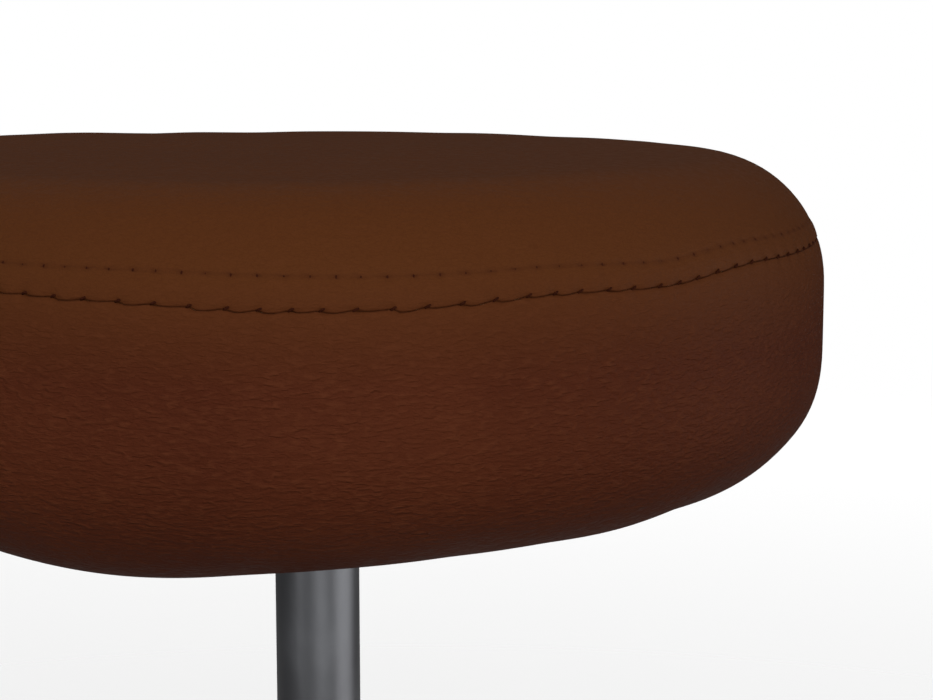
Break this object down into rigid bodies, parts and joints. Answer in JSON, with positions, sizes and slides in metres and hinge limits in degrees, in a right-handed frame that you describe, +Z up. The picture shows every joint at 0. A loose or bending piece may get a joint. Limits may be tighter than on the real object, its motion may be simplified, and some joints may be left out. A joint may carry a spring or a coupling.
{
  "type": "dentist stool",
  "caption": "Round, thickly padded leather stool on a gas lift, over a cast star base with twin-wheel casters; an under-seat lever sets the height.",
  "frame": {"origin": "on the gas lift's axis, at floor level", "axes": "+Z up along the gas lift; -X is the side that the height lever sticks out of; +X and +Y level"},
  "size_m": [0.5033, 0.5033, 0.511],
  "materials": {
    "leather": "semi-gloss, fine pebble grain, dark brown",
    "foam": "open-cell polyurethane foam",
    "plywood": "sanded birch plywood",
    "dust_cloth": "non-woven black cloth",
    "dark_steel": "dark grey, satin to semi-gloss",
    "black_steel": "black powder coat",
    "chrome": "polished",
    "zinc": "zinc plated or ground steel",
    "aluminium": "polished",
    "nylon": "moulded black nylon",
    "tread": "grey polyurethane tread",
    "rubber": "black rubber"
  },
  "bodies": {
    "base": {"star_base": "aluminium", "outer_column": "chrome", "guide_bush": "nylon", "bearing_washer_lower": "zinc", "caster_stem_1": "zinc", "caster_stem_2": "zinc", "caster_stem_3": "zinc", "caster_stem_4": "zinc", "caster_stem_5": "zinc"},
    "rod": {"piston_rod": "zinc", "retaining_clip": "zinc", "clip_washer": "zinc", "bearing_washer_upper": "zinc", "bump_stop": "rubber", "piston": "aluminium", "piston_seal": "rubber"},
    "bearing": {"bearing_ball_cage": "zinc"},
    "seat": {"top_panel": "leather", "side_band": "leather", "foam_cushion": "foam", "seat_board": "plywood", "dust_cover": "dust_cloth", "mounting_plate": "black_steel", "taper_socket": "black_steel", "pressure_tube": "dark_steel", "rod_guide": "nylon", "valve_body": "zinc", "lever_pivot_pin": "zinc", "t_nut_1": "zinc", "t_nut_2": "zinc", "t_nut_3": "zinc", "t_nut_4": "zinc", "plate_bolt_1": "zinc", "plate_bolt_2": "zinc", "plate_bolt_3": "zinc", "plate_bolt_4": "zinc"},
    "lever": {"height_lever": "zinc", "lever_grip": "nylon"},
    "valve": {"valve_button": "zinc"},
    "caster_1": {"caster_hood_1": "nylon", "caster_axle_1": "zinc"},
    "left_wheel_1": {"wheel_left_1": "tread"},
    "right_wheel_1": {"wheel_right_1": "tread"},
    "caster_2": {"caster_hood_2": "nylon", "caster_axle_2": "zinc"},
    "left_wheel_2": {"wheel_left_2": "tread"},
    "right_wheel_2": {"wheel_right_2": "tread"},
    "caster_3": {"caster_hood_3": "nylon", "caster_axle_3": "zinc"},
    "left_wheel_3": {"wheel_left_3": "tread"},
    "right_wheel_3": {"wheel_right_3": "tread"},
    "caster_4": {"caster_hood_4": "nylon", "caster_axle_4": "zinc"},
    "left_wheel_4": {"wheel_left_4": "tread"},
    "right_wheel_4": {"wheel_right_4": "tread"},
    "caster_5": {"caster_hood_5": "nylon", "caster_axle_5": "zinc"},
    "left_wheel_5": {"wheel_left_5": "tread"},
    "right_wheel_5": {"wheel_right_5": "tread"}
  },
  "joints": [
    {"name": "seat_swivel", "type": "hinge", "parent": "base", "child": "rod", "pos_m": [0, 0, 0.07], "axis": [0, 0, 1], "continuous": true},
    {"name": "bearing_roll", "type": "hinge", "parent": "base", "child": "bearing", "pos_m": [0, 0, 0.067], "axis": [0, 0, 1], "continuous": true},
    {"name": "seat_height", "type": "slide", "parent": "rod", "child": "seat", "axis": [0, 0, 1], "range_m": [-0.07, 0.07]},
    {"name": "lever_lift", "type": "hinge", "parent": "seat", "child": "lever", "pos_m": [-0.044, 0, 0.4129], "axis": [0, 1, 0], "range_deg": [0, 4]},
    {"name": "valve_press", "type": "slide", "parent": "seat", "child": "valve", "axis": [0, 0, -1], "range_m": [0, 0.0032], "stiffness_N_per_m": 3000, "springref_m": -0.002},
    {"name": "caster_swivel_1", "type": "hinge", "parent": "base", "child": "caster_1", "pos_m": [0.22223, 0.0352, 0.055], "axis": [0, 0, 1], "continuous": true},
    {"name": "left_wheel_spin_1", "type": "hinge", "parent": "caster_1", "child": "left_wheel_1", "pos_m": [0.20809, 0.02106, 0.025], "axis": [0.7071, -0.7071, 0], "continuous": true},
    {"name": "right_wheel_spin_1", "type": "hinge", "parent": "caster_1", "child": "right_wheel_1", "pos_m": [0.20809, 0.02106, 0.025], "axis": [0.7071, -0.7071, 0], "continuous": true},
    {"name": "caster_swivel_2", "type": "hinge", "parent": "base", "child": "caster_2", "pos_m": [0.0352, 0.22223, 0.055], "axis": [0, 0, 1], "continuous": true},
    {"name": "left_wheel_spin_2", "type": "hinge", "parent": "caster_2", "child": "left_wheel_2", "pos_m": [0.02106, 0.20809, 0.025], "axis": [0.7071, -0.7071, 0], "continuous": true},
    {"name": "right_wheel_spin_2", "type": "hinge", "parent": "caster_2", "child": "right_wheel_2", "pos_m": [0.02106, 0.20809, 0.025], "axis": [0.7071, -0.7071, 0], "continuous": true},
    {"name": "caster_swivel_3", "type": "hinge", "parent": "base", "child": "caster_3", "pos_m": [-0.20048, 0.10215, 0.055], "axis": [0, 0, 1], "continuous": true},
    {"name": "left_wheel_spin_3", "type": "hinge", "parent": "caster_3", "child": "left_wheel_3", "pos_m": [-0.21462, 0.08801, 0.025], "axis": [0.7071, -0.7071, 0], "continuous": true},
    {"name": "right_wheel_spin_3", "type": "hinge", "parent": "caster_3", "child": "right_wheel_3", "pos_m": [-0.21462, 0.08801, 0.025], "axis": [0.7071, -0.7071, 0], "continuous": true},
    {"name": "caster_swivel_4", "type": "hinge", "parent": "base", "child": "caster_4", "pos_m": [-0.1591, -0.1591, 0.055], "axis": [0, 0, 1], "continuous": true},
    {"name": "left_wheel_spin_4", "type": "hinge", "parent": "caster_4", "child": "left_wheel_4", "pos_m": [-0.17324, -0.17324, 0.025], "axis": [0.7071, -0.7071, 0], "continuous": true},
    {"name": "right_wheel_spin_4", "type": "hinge", "parent": "caster_4", "child": "right_wheel_4", "pos_m": [-0.17324, -0.17324, 0.025], "axis": [0.7071, -0.7071, 0], "continuous": true},
    {"name": "caster_swivel_5", "type": "hinge", "parent": "base", "child": "caster_5", "pos_m": [0.10215, -0.20048, 0.055], "axis": [0, 0, 1], "continuous": true},
    {"name": "left_wheel_spin_5", "type": "hinge", "parent": "caster_5", "child": "left_wheel_5", "pos_m": [0.08801, -0.21462, 0.025], "axis": [0.7071, -0.7071, 0], "continuous": true},
    {"name": "right_wheel_spin_5", "type": "hinge", "parent": "caster_5", "child": "right_wheel_5", "pos_m": [0.08801, -0.21462, 0.025], "axis": [0.7071, -0.7071, 0], "continuous": true}
  ],
  "couplings": [
    {"joint": "bearing_roll", "follows": "seat_swivel", "ratio": 0.5},
    {"joint": "valve_press", "follows": "lever_lift", "m_per_rad": 0.043}
  ]
}
